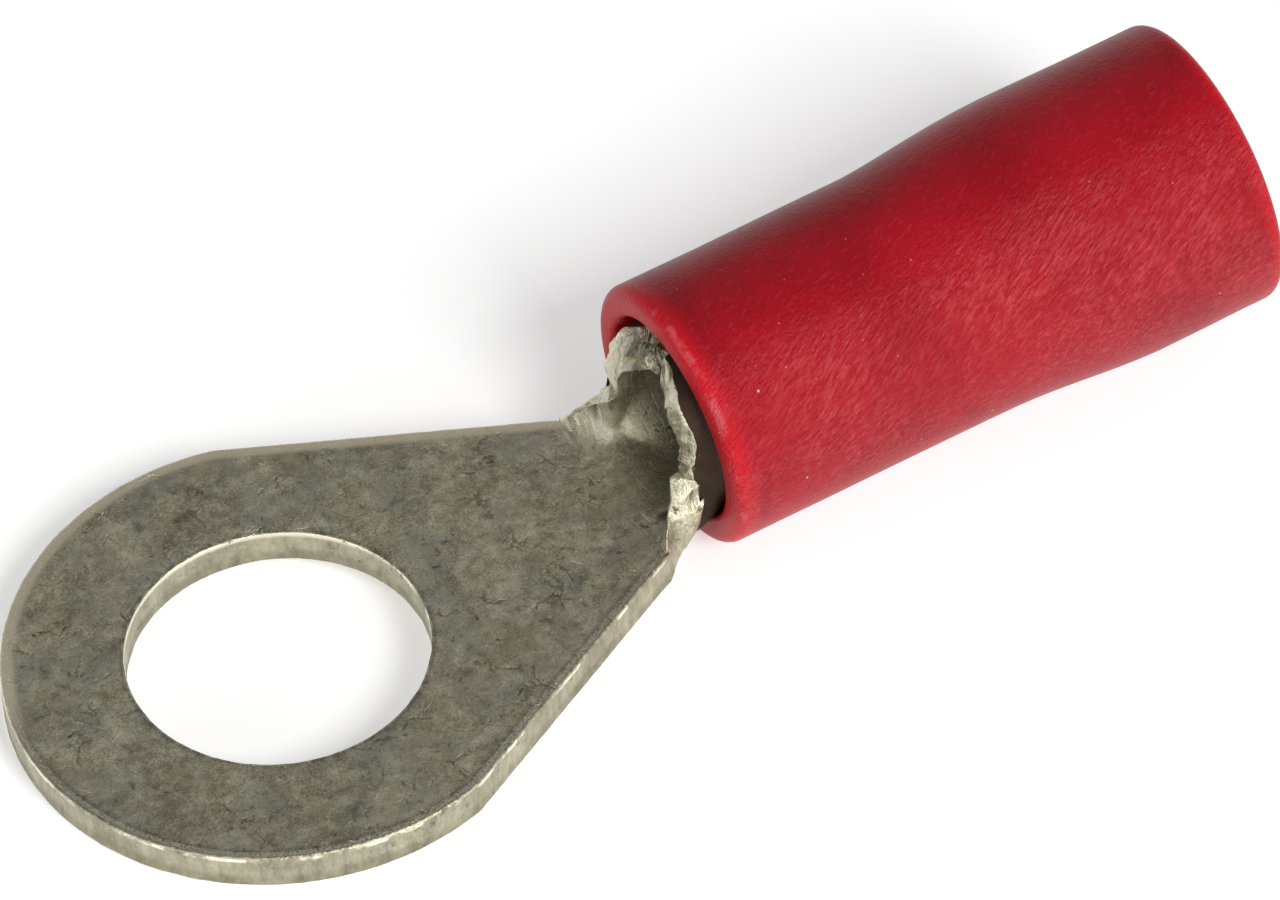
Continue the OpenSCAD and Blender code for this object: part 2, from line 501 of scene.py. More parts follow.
@dataclass(frozen=True)
class TinFace:
    """Dull tin of the sheet's rolled faces: gritty, smudged, with short hairlines and nicks."""

    name: str = "tinned_copper_face"
    dark: Colour = (0.27, 0.25, 0.18)
    light: Colour = (0.725, 0.69, 0.51)
    slate: Colour = (0.42, 0.44, 0.37)
    brown: Colour = (0.37, 0.31, 0.215)
    # Colour of real smudges, specks and veins, also used for painted shade inside the barrel.
    stain_and_painted_shade: Colour = (0.095, 0.076, 0.046)
    # Colour of real polish on scratches and scrapes, also used for painted highlights and glints.
    polish_and_painted_highlight: Colour = (0.86, 0.84, 0.70)
    # Colour of the painted highlight along the far side's outline.
    rolled: Colour = (0.97, 0.88, 0.66)
    # Colour of the painted shade on the barrel's outside.
    shade: Colour = (0.050, 0.028, 0.020)
    roughness: float = 0.44
    relief: float = 0.02

    def from_edges(self, along: Value, off_axis: Value, sheet: FoldedSheet) -> tuple[Value, Value]:
        """Distances in millimetres from the outer outline and from the hole's edge.

        Args:
            along: Place along X.
            off_axis: Place along Y.
            sheet: The sheet whose edges they are.

        Returns:
            Distance inward from the outline, then distance outward from the hole.
        """
        across = off_axis.math("ABSOLUTE")
        from_axis = along.reach(across)
        lean = sheet.side_lean
        straight = sheet.side_reach - along * math.sin(lean) - across * math.cos(lean)
        round_part = (sheet.ring_r - from_axis).math("MINIMUM", straight)
        forward = along.band(sheet.shoulder.x - 0.02, sheet.shoulder.x + 0.02)
        return straight * forward + round_part * (1.0 - forward), from_axis - sheet.hole_r

    def build(self, sheet: FoldedSheet) -> bpy.types.Material:
        """Makes the material.

        Args:
            sheet: The sheet that it covers; the tin is brighter from the neck on.

        Returns:
            The material.
        """
        material, work = new_material(self.name)
        where = work.place()
        along, off_axis, raised = work.axes(where)
        neck_x = sheet.neck_x
        grit = work.noise(where, 27.0, 3.0, 0.75)
        mottle = work.noise(where, 5.5, 5.0, 0.7)
        patch = work.noise(where, 2.1, 5.0, 0.65)
        cloud = work.noise(where, 0.9, 4.0, 0.6)

        # Crackled veins, smudges and specks of the tin's skin.
        warped = work.warped(where, 2.2, 5.0, 0.8)
        veins = work.cells(warped, 1.1, "DISTANCE_TO_EDGE").fade(0.0, 0.05)
        leaning = work.mapped(warped, (0, 0, 30), move=(5.0, 2.0, 0.0))
        veins = veins + work.cells(leaning, 2.4, "DISTANCE_TO_EDGE").fade(0.0, 0.045) * 0.6
        veins = veins * work.noise(where, 1.7, 3.0, 0.6).band(0.50, 0.60) * mottle.band(0.38, 0.52)
        smudge = work.noise(where, 2.6, 6.0, 0.75).band(0.55, 0.70)
        specks = work.cells(warped, 6.5).fade(0.10, 0.24) * work.noise(where, 1.2, 2.0).band(0.48, 0.62)

        # Hairlines both ways, short nicks, and scores along the neck.
        lines = work.mapped(where, (0, 0, 38), (17.0, 1.5, 1.0))
        hair = work.noise(lines, 1.0, 2.0, 0.5).band(0.70, 0.78)
        lines = work.mapped(where, (0, 0, -61), (15.0, 1.9, 1.0), (3.1, 1.7, 0.0))
        crossing = work.noise(lines, 1.0, 2.0, 0.5).band(0.72, 0.8)
        nicks = work.cells(work.mapped(where, (0, 0, 20), (1.0, 1.8, 1.0)), 2.1).fade(0.04, 0.075)
        nicks = nicks * grit.band(0.4, 0.55)
        lines = work.mapped(where, (0, 0, 4), (22.0, 0.8, 0.8), (0.4, 0.9, 0.0))
        scores = work.noise(lines, 1.0, 2.0, 0.5).band(0.66, 0.72) * along.band(neck_x - 0.8, neck_x - 0.1)

        # The trough's walls: a faint painted highlight where they fold, painted shade on the barrel's outside and
        # within it, and scraped at both roots.
        # folded marks where the walls fold up; it gets a faint painted highlight.
        folded = raised.band(0.7, 1.1) * along.band(neck_x - 0.7, neck_x + 0.3)
        from_barrel = off_axis.reach(raised - (sheet.sheet_t / 2 + sheet.mid_r))
        # outer_wall and outside mark the barrel's outside, which gets painted shade.
        outer_wall = off_axis.fade(-1.10, -1.02) * raised.band(0.7, 0.9)
        outside = from_barrel.band(sheet.mid_r, sheet.mid_r + 0.08).math("MAXIMUM", outer_wall)
        onward = along + off_axis.fade(-0.9, -0.7) * 0.17
        outside = outside * onward.band(neck_x + 0.25, neck_x + 0.42)
        # inside marks the barrel's inner surface, which gets painted shade.
        inside = from_barrel.fade(sheet.mid_r - 0.2, sheet.mid_r) * along.band(neck_x + 0.3, neck_x + 0.75)

        def oval(x: float, y: float, narrow: float, short: float, low: float, high: float) -> Value:
            """Oval place on the sheet.

            Args:
                x: Its middle along X.
                y: Its middle along Y.
                narrow: How quickly it ends along X.
                short: How quickly it ends along Y.
                low: Where it starts to fade.
                high: Where it is gone.

            Returns:
                The place, as a mask.
            """
            ahead = along - x
            aside = off_axis - y
            return (ahead * ahead * narrow + aside * aside * short).math("SQRT").fade(low, high)

        lines = work.mapped(where, (0, 0, -4), (16.0, 2.6, 2.6), (0.2, 0.7, 0.0))
        streaked = work.noise(lines, 1.0, 3.0, 0.6)
        scraped = oval(neck_x + 0.05, 1.12, 1.6, 0.5, 0.10, 0.42) * streaked.band(0.42, 0.62)
        near_scrape = oval(neck_x + 0.42, -0.95, 1.4, 0.9, 0.06, 0.36)
        scraped = (scraped + near_scrape * (streaked.band(0.40, 0.66) * 0.5 + 0.25)) * (1.0 - outside)

        # Dark lines that follow the outline and the hole, painted glints along both edges, and a painted highlight
        # along the far side's outline.
        outline, rim = self.from_edges(along, off_axis, sheet)
        uneven = mottle * 0.14 + grit * 0.07
        flat = along.fade(neck_x - 0.1, neck_x + 0.1)
        dark_line = (outline + uneven).stripe(0.14, 0.19, 0.22, 0.33)
        hole_line = (rim + uneven).stripe(0.07, 0.11, 0.13, 0.2)
        painted_edge_glint = outline.fade(0.10, 0.14) * grit.band(0.35, 0.6)
        painted_hole_glint = rim.fade(0.02, 0.05) * mottle.band(0.4, 0.6)
        # roll is a painted highlight along the outline on the far side.
        roll = (outline + uneven * 0.6).fade(0.2, 0.3) * off_axis.band(0.2, 1.4) * flat

        tone = mottle * 1.7 + grit * 2.1 + patch * 1.6 + cloud * 0.8 + along.band(1.5, 5.5) * 0.14 - 2.65
        # Real polish of hairlines, nicks, scores and scrapes, with a painted highlight on the fold and painted glints
        # along the outline and the hole, held back by the painted shade on the barrel.
        polish_and_painted_light = hair * 0.32 + crossing * 0.24 + nicks * 0.7 + scores * 0.7 + folded * 0.1 + scraped * 0.75
        polish_and_painted_light = (polish_and_painted_light + (painted_edge_glint + painted_hole_glint) * flat * 0.6 - outside * 0.6 - inside * 0.4).clamp()
        colour = work.layers(
            work.blend(tone, self.dark, self.light),
            (work.noise(where, 1.3, 4.0, 0.6).band(0.45, 0.65) * 0.5, self.slate),
            (work.noise(work.mapped(where, move=(9.0, 4.0, 2.0)), 1.1, 5.0, 0.7).band(0.5, 0.66) * 0.45, self.brown),
            (smudge * 0.5 + specks * 0.55, self.stain_and_painted_shade),
            # Painted shade: inside the barrel in the stain colour, outside it in the shade colour.
            (veins * 0.6 + (dark_line * 0.4 + hole_line * 0.45) * flat + inside * 0.2, self.stain_and_painted_shade),
            (outside * 0.96, self.shade),
            (polish_and_painted_light, self.polish_and_painted_highlight),
            # Painted highlight along the far side's outline.
            (roll * 0.7, self.rolled),
        )
        rough = (self.roughness + mottle * 0.2 - polish_and_painted_light * 0.14 + inside * 0.1 + outside * 0.1).clamp()
        height = grit * 0.45 + mottle * 0.6 - veins * 0.4 - hair * 0.35 - crossing * 0.3 - scores * 0.7
        work.surface(colour, rough, height, self.relief, Metallic=1.0)
        return material


@dataclass(frozen=True)
class TinCut:
    """Bright tin of the cut edges: a burnished land, then a torn, grainy one."""

    name: str = "tinned_copper_cut"
    bright: Colour = (0.53, 0.50, 0.37)
    dull: Colour = (0.235, 0.22, 0.15)
    fresh: Colour = (0.86, 0.82, 0.62)
    # Colour of the painted highlight along the far top edge and of the painted glints.
    rolled: Colour = (1.0, 0.94, 0.74)
    # Colour of real pits and of the torn land's grain, also used for painted shade in the grooves beside the seam.
    pit_and_painted_shade: Colour = (0.17, 0.15, 0.09)
    roughness: float = 0.31
    relief: float = 0.03

    def build(self, sheet: FoldedSheet) -> bpy.types.Material:
        """Makes the material.

        Args:
            sheet: The sheet whose cuts it covers; those at the mouth are fresher.

        Returns:
            The material.
        """
        material, work = new_material(self.name)
        where = work.place()
        along, off_axis, raised = work.axes(where)
        patches = work.noise(where, 1.9, 4.0, 0.6)
        grain = work.noise(where, 16.0, 4.0, 0.65)
        upright = work.noise(work.mapped(where, scale=(7.0, 7.0, 2.2)), 1.0, 4.0, 0.7)
        pits = work.noise(where, 5.0, 5.0, 0.7).band(0.6, 0.72)

        # The torn mouth, with its ridges beside the seam and its darker near root.
        mouth = along.band(sheet.neck_x - 0.1, sheet.neck_x + 0.25)
        seam = raised.band(2.05, 2.35) * off_axis.band(-0.42, -0.3) * mouth
        ridged = work.noise(work.mapped(where, (22, 0, 0), (1.4, 1.9, 8.5)), 1.0, 3.0, 0.65)
        # The grooves between the ridges get painted shade as well as a dip in the relief.
        groove = seam * ridged.fade(0.40, 0.56)
        newer = upright * 1.9 + patches * 1.2 + grain * 0.6 - pits * 0.5 - seam * 0.25 - 1.25
        newer = (mouth * newer).clamp() * (1.0 - 0.75 * off_axis.fade(-1.05, -0.7) * raised.fade(1.3, 1.7))
        torn = (raised + patches * 0.16).fade(0.2, 0.34) * (1.0 - mouth)

        # Painted highlights and glints: along the far top edge, on the hole's top edge and along the near side's top
        # edge.
        top_edge = raised.band(0.44, 0.52) * (1.0 - mouth)
        at_hole = along.reach(off_axis).fade(sheet.hole_r + 0.05, sheet.hole_r + 0.1)
        glint = raised.band(0.515, 0.53) * at_hole * patches.band(0.42, 0.55)
        painted_edge_glint = raised.stripe(0.45, 0.48, 0.515, 0.53) * off_axis.fade(-0.2, 0.8)
        glint = (glint + painted_edge_glint * patches.band(0.46, 0.58) * (1.0 - mouth)).clamp()

        tone = patches * 1.5 + upright * 1.6 + grain * 0.9 - 1.45 - torn * 0.15
        colour = work.layers(
            work.blend(tone, self.dull, self.bright),
            (newer, self.fresh),
            # Painted highlight along the far top edge, then painted glints.
            (top_edge * off_axis.band(0.2, 1.4) * 0.85, self.rolled),
            (glint, self.rolled),
            # Real pits and torn grain, and painted shade in the grooves.
            (pits * 0.5 + torn * grain * 0.3 + groove * 0.85, self.pit_and_painted_shade),
        )
        rough = (self.roughness + torn * 0.1 + grain * 0.16 - glint * 0.14).clamp()
        height = grain * 0.5 + upright * 0.6 - pits * 0.8 - groove * 1.5
        work.surface(colour, rough, height, self.relief, Metallic=0.9)
        return material


@dataclass(frozen=True)
class RedVinyl:
    """Soft red PVC: fine wrinkled skin, slanting scuffs, pale specks, clearer red at its ends and a painted sheen on
    the side that faces the lamps.
    """

    name: str = "red_vinyl_skin"
    base: Colour = (0.385, 0.0055, 0.015)
    deep: Colour = (0.30, 0.004, 0.011)
    ends: Colour = (0.66, 0.007, 0.018)
    # Colour of real wear, also used for the painted sheen on the side that faces the lamps.
    worn: Colour = (0.60, 0.085, 0.095)
    speck: Colour = (0.80, 0.50, 0.46)
    stroke_turn: tuple[float, float, float] = (0.0, -23.6, 21.5)
    roughness: float = 0.30
    relief: float = 0.055
    refraction: float = 1.24

    def build(self, front: float, rear: float, axis_z: float) -> bpy.types.Material:
        """Makes the material.

        Args:
            front: Front end of the sleeve along X, in millimetres.
            rear: Its rear end.
            axis_z: Height of its axis.

        Returns:
            The material.
        """
        material, work = new_material(self.name)
        where = work.place()
        along, off_axis, raised = work.axes(where)
        grain = work.noise(where, 17.0, 3.0, 0.6)
        peel = work.noise(work.warped(where, 5.0, 3.0, 0.10), 8.0, 3.0, 0.6)
        cloud = work.noise(where, 0.5, 3.0, 0.55)
        wrinkle = work.noise(work.mapped(where, self.stroke_turn, (9.0, 36.0, 36.0)), 1.0, 2.0, 0.6)
        scuffs = work.noise(work.mapped(where, self.stroke_turn, (3.6, 17.0, 17.0)), 1.0, 3.0, 0.6)
        lines = work.mapped(where, (0, 0, 8), (0.7, 11.0, 11.0), (1.0, 5.0, 2.0))
        scrape = work.noise(lines, 1.0, 3.0).band(0.68, 0.75)
        dots = work.cells(where, 1.7).fade(0.026, 0.044)
        fine_dots = work.cells(work.mapped(where, (10, 20, 30)), 3.1).fade(0.03, 0.05)
        tips = along.fade(front + 0.05, front + 0.45) + along.band(rear - 0.3, rear - 0.02)
        edge_line = along.stripe(front + 0.02, front + 0.06, front + 0.10, front + 0.17)
        edge_line = edge_line * work.noise(where, 1.6, 4.0, 0.7).band(0.47, 0.62)

        # The side that faces outwards and a little up, towards the lamps, gets a painted sheen in leaning strokes, and
        # its wrinkles stand deeper.
        painted_sheen_side = (raised - axis_z) * 0.34 - off_axis * 0.94
        painted_sheen_side = (painted_sheen_side + cloud * 0.5 - 0.25).band(1.30, 1.85)
        strokes = scuffs.band(0.42, 0.62) * 0.26 + wrinkle.band(0.45, 0.65) * 0.22
        wear = scuffs.band(0.54, 0.74) * 0.16 + scrape * 0.2 + wrinkle.band(0.55, 0.75) * 0.12
        wear = (wear + edge_line * 0.95).clamp() + painted_sheen_side * work.noise(where, 0.8, 3.0).band(0.25, 0.6) * strokes

        colour = work.layers(
            work.blend(cloud.band(0.35, 0.65), self.base, self.deep),
            (tips * 0.75, self.ends),
            # Real wear, and the painted sheen on the side that faces the lamps.
            (wear, self.worn),
            (dots * 0.75 + fine_dots * 0.35, self.speck),
        )
        rough = (self.roughness + grain * 0.14 - wrinkle * 0.06).clamp()
        height = grain * 0.2 + peel * 0.12 + (wrinkle * 0.95 + scuffs * 0.75) * (0.25 + painted_sheen_side * 0.75)
        work.surface(colour, rough, height, self.relief, IOR=self.refraction)
        return material


# --- the folded sheet


@dataclass
class FoldedSheet:
    """The middle surface of the terminal's sheet, from the ring to the end of the barrel.

    Lengths are in millimetres. A place across the folded sheet is told by q: 0 at the middle of the
    floor, 1 where the roof starts and 2 at the seam, negative on the -Y side.
    """

    hole_r: float
    ring_r: float
    sheet_t: float
    bore_r: float
    end_x: float
    shoulder_deg: float = 74.0
    neck_x: float = 5.45
    neck_w: float = 3.04
    fold_len: float = 0.6
    bend_r: float = 0.5
    round_len: float = 0.5
    root_fillet: float = 0.35
    seam_step: float = 0.06
    step_q: float = 1.4
    corner_clip: float = 0.2
    clip_q: float = 1.6
    seam_slit: float = 0.03

    @classmethod
    def from_frame(cls, frame: dict) -> FoldedSheet:
        """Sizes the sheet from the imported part.


        Returns:
            The sheet.
        """
        mounts = {mount["name"]: mount for mount in frame["record"]["mounts"]}
        low, _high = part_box("terminal")
        return cls(
            hole_r=mounts["stud_hole"]["dims"]["r_mm"],
            ring_r=-low.x / MM,
            sheet_t=mounts["ring_top"]["pos_m"][2] / MM,
            bore_r=mounts["wire_barrel"]["dims"]["r_mm"],
            end_x=mounts["wire_barrel"]["pos_m"][0] / MM,
        )

    @property
    def mid_r(self) -> float:
        """Radius of the barrel at the sheet's middle."""
        return self.bore_r + self.sheet_t / 2

    @property
    def barrel_x(self) -> float:
        """Front edge of the barrel."""
        return self.neck_x + self.fold_len

    @property
    def shoulder(self) -> Vector:
        """Corner where a straight side leaves the ring, on the +Y side."""
        angle = math.radians(self.shoulder_deg)
        return Vector((math.cos(angle), math.sin(angle), 0.0)) * self.ring_r

    @property
    def side_lean(self) -> float:
        """Angle between a straight side and X, in radians."""
        return math.atan2(self.shoulder.y - self.neck_w / 2, self.neck_x - self.shoulder.x)

    @property
    def side_reach(self) -> float:
        """Distance from the hole's axis to a straight side."""
        return self.shoulder.x * math.sin(self.side_lean) + self.shoulder.y * math.cos(self.side_lean)

    @property
    def seam_q(self) -> float:
        """Place across the sheet of its two edges at the seam."""
        return 2 - self.seam_slit / (math.pi * self.mid_r)

    def quarter_len(self, radius: float) -> float:
        """Length of the sheet's middle from q = 0 to 1, where the bends have a radius."""
        return 2 * (self.mid_r - radius) + radius * math.pi / 2

    def bend_at(self, x: float) -> float:
        """Radius of the two bends at x."""
        return mix(self.bend_r, self.mid_r, smooth(clamp((x - self.barrel_x) / self.round_len)))

    def fold_at(self, x: float) -> float:
        """Angle that the sheet's sides are folded through at x, in radians."""
        return math.pi / 2 * clamp((x - self.neck_x) / self.fold_len) ** 2

    def half_sheet(self, x: float) -> float:
        """Half width of the flat sheet between the neck and the barrel's front.

        Args:
            x: Place along X.

        Returns:
            The half width, which grows in a fillet towards the wings.
        """
        fillet = min(self.root_fillet, self.quarter_len(self.bend_r) - self.neck_w / 2)
        gone = clamp((x - self.barrel_x) / fillet + 1)
        return self.neck_w / 2 + fillet * (1 - math.sqrt(1 - gone**2))

    @property
    def root_q(self) -> float:
        """Place across the sheet where the wings leave the trough's sides."""
        return self.half_sheet(self.barrel_x) / self.quarter_len(self.bend_r)

    def front_x(self, q: float) -> float:
        """Front edge of the barrel: the -Y wing steps back and the corners are clipped.

        Args:
            q: Place across the sheet.

        Returns:
            The edge's place along X.
        """
        step = 0.0
        if q < 0:
            step = self.seam_step * smooth(clamp((-q - self.root_q) / (self.step_q - self.root_q)))
        clip = self.corner_clip * clamp((abs(q) - self.clip_q) / (self.seam_q - self.clip_q))
        return self.barrel_x + step + clip

    def point(self, q: float, x: float) -> Vector:
        """Point of the sheet's middle.

        Args:
            q: Place across the sheet.
            x: Place along X.

        Returns:
            The point, in metres.
        """
        radius = self.bend_at(x)
        fold = self.fold_at(x)
        flat = self.mid_r - radius
        if abs(q) < 1:
            run = abs(q) * self.quarter_len(radius)
            bent = min(max(run - flat, 0.0) / radius, fold)
            wall = max(run - flat - radius * fold, 0.0)
            y = min(run, flat) + radius * math.sin(bent) + wall * math.cos(fold)
            z = radius - radius * math.cos(bent) + wall * math.sin(fold)
        else:
            roof = math.pi / 2 * (abs(q) - 1)
            y = self.mid_r * math.cos(roof)
            z = self.mid_r + self.mid_r * math.sin(roof)
        return Vector((x, math.copysign(y, q), self.sheet_t / 2 + z)) * MM


@dataclass
class Terminal:
    """The terminal: a stamped ring and tongue whose end is folded up and rolled into a barrel.

    Lengths are in millimetres. The near wing is the one on the -Y side.
    """

    sheet: FoldedSheet
    sides: int = 192
    neck_places: int = 28
    side_places: int = 18
    rows_out: int = 7
    trough_rows: int = 14
    mouth_rows: int = 7
    barrel_rows: int = 12
    wing_places: int = 60
    wide_roll: float = 0.105
    narrow_roll: float = 0.028
    sharp_angle: float = 0.6
    hole_clear: float = 0.4
    mouth_clear: float = 0.3
    rolled_deg: float = 40
    worn_deg: float = 48
    rim_cuts: int = 4
    unworn_len: float = 1.0
    front_ragged: float = 0.012
    rim_nick: float = 0.006
    rim_grit: float = 0.004
    root_facet: float = 0.035
    root_grit: float = 0.02
    near_pinch: float = 0.42
    far_push: float = 0.17
    far_chamfer: float = 0.30
    far_ridge: float = 0.10
    far_ragged: float = 0.05
    near_chamfer: float = 0.10
    near_ragged: float = 0.035
    near_drawn_in: float = 0.13
    mouth_grit: float = 0.012
    name: str = "terminal_dressed"

    def outline(self) -> list[Vector]:
        """Outer outline of ring and tongue, one point for each side of the circle.

        Returns:
            Points in turn from the neck's -Y corner across the neck and on round the ring.
        """
        sheet = self.sheet
        half = sheet.neck_w / 2
        neck = [Vector((sheet.neck_x, y, 0.0)) for y in [-half, *steps(-half, half, self.neck_places)]]
        side = [neck[-1].lerp(sheet.shoulder, k / self.side_places) for k in range(1, self.side_places + 1)]
        round_places = self.sides - len(neck) - 2 * len(side)
        angle = math.radians(sheet.shoulder_deg)
        turns = steps(angle, 2 * math.pi - angle, round_places + 1)[:-1]
        arc = [Vector((math.cos(turn), math.sin(turn), 0.0)) * sheet.ring_r for turn in turns]
        back = [Vector((spot.x, -spot.y, 0.0)) for spot in reversed(side)]
        return neck + side + arc + back

    def hole_places(self, piece: Piece) -> list[Vector]:
        """Places of the circle's vertices in turn, from the one that faces the neck's -Y corner.

        Args:
            piece: The circle, in edit mode.

        Returns:
            The places, in metres.
        """
        lead = -math.pi * self.neck_places / self.sides

        def turn(co: Vector) -> float:
            """Angle from the first place on, a hair more so that it doesn't come last."""
            return (math.atan2(co.y, co.x) - lead + 1e-6) % (2 * math.pi)

        return sorted((vertex.co.copy() for vertex in bmesh.from_edit_mesh(piece.data).verts), key=turn)

    def build_tongue(self) -> Piece:
        """Extrudes the hole's circle outward to the outline, in rows.

        Returns:
            The piece, in edit mode.
        """
        level = self.sheet.sheet_t / 2
        raised = Matrix.Translation((0.0, 0.0, level * MM))
        piece = start_ring(self.name, self.sides, self.sheet.hole_r * MM, raised)
        current = self.hole_places(piece)
        hole = [co / MM for co in current]
        outline = self.outline()
        for share in steps(0.0, 1.0, self.rows_out):
            targets = []
            for inner, outer in zip(hole, outline):
                spot = Vector((mix(inner.x, outer.x, share), mix(inner.y, outer.y, share), level))
                targets.append(spot * MM)
            extrude_to(piece, current, targets)
            current = targets
        return piece

    def extrude_neck(self, piece: Piece) -> list[float]:
        """Extrudes the neck's edge forward, row by row, along the folded sheet to the barrel's end.

        Args:
            piece: The tongue, in edit mode.

        Returns:
            Places along X of the barrel's rows.
        """
        sheet = self.sheet
        mouth_end = sheet.barrel_x + sheet.round_len
        rows = steps(sheet.neck_x, sheet.barrel_x, self.trough_rows)
        rows += steps(sheet.barrel_x, mouth_end, self.mouth_rows)
        rows += steps(mouth_end, sheet.end_x, self.barrel_rows)
        half = sheet.neck_w / 2

        def across_neck(edge: Edge) -> bool:
            """Whether an edge is one of those that the neck starts from."""
            spots = [vertex.co / MM for vertex in edge.verts]
            return all(abs(spot.x - sheet.neck_x) < HAIR and abs(spot.y) < half + HAIR for spot in spots)

        select_parts(piece, across_neck)
        shares = [-1.0, *steps(-1.0, 1.0, self.neck_places)]
        current = [Vector((sheet.neck_x, share * half, sheet.sheet_t / 2)) * MM for share in shares]
        for x in rows:
            reach = sheet.root_q
            if x <= sheet.barrel_x + TINY:
                reach = sheet.half_sheet(x) / sheet.quarter_len(sheet.bend_at(x))
            targets = [sheet.point(share * reach, x) for share in shares]
            extrude_to(piece, current, targets)
            current = targets
        return [x for x in rows if x >= sheet.barrel_x - TINY]

    def extrude_wings(self, piece: Piece, rows: Sequence[float]) -> None:
        """Extrudes the floor's two side edges across, up the walls and over to the seam.

        Args:
            piece: The ring, tongue and neck, in edit mode.
            rows: Places along X of the barrel's rows.
        """
        sheet = self.sheet
        end = rows[-1]
        shares = [clamp((x - sheet.barrel_x) / (end - sheet.barrel_x)) for x in rows]
        for side in (-1, 1):
            current = [sheet.point(side * sheet.root_q, x) for x in rows]
            keys = {place_key(co) for co in current}
            select_parts(piece, lambda edge: all(place_key(vertex.co) in keys for vertex in edge.verts))
            for place in steps(sheet.root_q, sheet.seam_q, self.wing_places):
                q = side * place
                front = sheet.front_x(q) + self.front_wear(q)
                targets = [sheet.point(q, mix(front, end, share)) for share in shares]
                extrude_to(piece, current, targets)
                current = targets

    def front_wear(self, q: float) -> float:
        """Unevenness of the barrel's cut front edge at q."""
        share = clamp((abs(q) - self.sheet.root_q) / 0.3)
        return share * self.front_ragged * (ripple(q * 6.0, 1.7) + ripple(q * 17.0, 4.1) / 2)

    def thicken(self, piece: Piece) -> None:
        """Gives the sheet its thickness; the rim gets the cut edge's finish.

        Args:
            piece: The folded sheet.
        """
        apply_modifier(
            piece,
            "SOLIDIFY",
            thickness=self.sheet.sheet_t * MM,
            offset=0.0,
            use_even_offset=True,
            use_quality_normals=True,
            material_offset_rim=Face.CUT.value,
        )

    def roll_edges(self, piece: Piece) -> None:
        """Rounds the cut edges: widely where the die drew the top over, narrowly elsewhere.

        Args:
            piece: The thickened sheet.
        """
        sheet = self.sheet
        rim_kinds = {Face.SHEET.value, Face.CUT.value}

        def is_rim(edge: Edge) -> bool:
            """Whether an edge lies between a face of the sheet and a cut."""
            return {face.material_index for face in edge.link_faces} == rim_kinds

        def outer_top(edge: Edge) -> bool:
            """Whether an edge is the top edge of the outline, clear of hole and mouth.

            Args:
                edge: The edge.

            Returns:
                True where it is, and neither of its faces looks down.
            """
            middle = (edge.verts[0].co + edge.verts[1].co) / 2 / MM
            outer = math.hypot(middle.x, middle.y) > sheet.hole_r + self.hole_clear
            outer = outer and middle.x < sheet.barrel_x - self.mouth_clear
            return outer and is_rim(edge) and all(face.normal.z > -0.3 for face in edge.link_faces)

        def sharp_rim(edge: Edge) -> bool:
            """Whether an edge of the rim is still sharp."""
            return is_rim(edge) and edge.calc_face_angle(0.0) > self.sharp_angle

        pick(piece)
        bpy.ops.object.mode_set(mode="EDIT")
        for wanted, width, segments in ((outer_top, self.wide_roll, 4), (sharp_rim, self.narrow_roll, 2)):
            select_parts(piece, wanted)
            bpy.ops.mesh.bevel(
                offset=width * MM,
                segments=segments,
                affect="EDGES",
                profile=0.5,
                material=Face.CUT.value,
                clamp_overlap=True,
            )
        finish_mesh(piece, MERGE, self.rolled_deg)

    def wear_edges(self, piece: Piece) -> None:
        """Cuts the rim's faces finer and wears them: torn ends at the mouth, small nicks elsewhere.

        Args:
            piece: The sheet with its edges rounded.
        """
        limit = (self.sheet.end_x - self.unworn_len) * MM

        def worn(face: bmesh.types.BMFace) -> bool:
            """Whether a face is a cut ahead of the barrel's end."""
            return face.material_index == Face.CUT.value and face.calc_center_median().x < limit

        bpy.ops.object.mode_set(mode="EDIT")
        select_parts(piece, worn, "FACE")
        bpy.ops.mesh.subdivide(number_cuts=self.rim_cuts, quadcorner="INNERVERT")
        bpy.ops.mesh.select_all(action="SELECT")
        move_selected(piece, lambda co: self.worn_place(co / MM) * MM)
        finish_mesh(piece, FINE_MERGE, self.worn_deg)

    def worn_place(self, spot: Vector) -> Vector:
        """Where wear has left a point of the sheet."""
        return spot + self.rim_nicks(spot) + self.root_wear(spot) + self.mouth_wear(spot)

    def rim_nicks(self, spot: Vector) -> Vector:
        """Small unevenness of every cut edge.

        Args:
            spot: The point.

        Returns:
            How far the point is shifted.
        """
        sheet = self.sheet
        fade = 1 - clamp((spot.x - sheet.barrel_x) / 0.2)
        shift = noise.noise_vector(spot * 5.0) * self.rim_nick + noise.noise_vector(spot * 15.0) * self.rim_grit
        rim = abs(spot.z - sheet.sheet_t / 2) / (sheet.sheet_t / 2)
        flat = 1 - clamp((spot.x - sheet.neck_x) / 0.1)
        return Vector((shift.x, shift.y, shift.z * mix(1.0, clamp(1.2 - rim), flat))) * fade

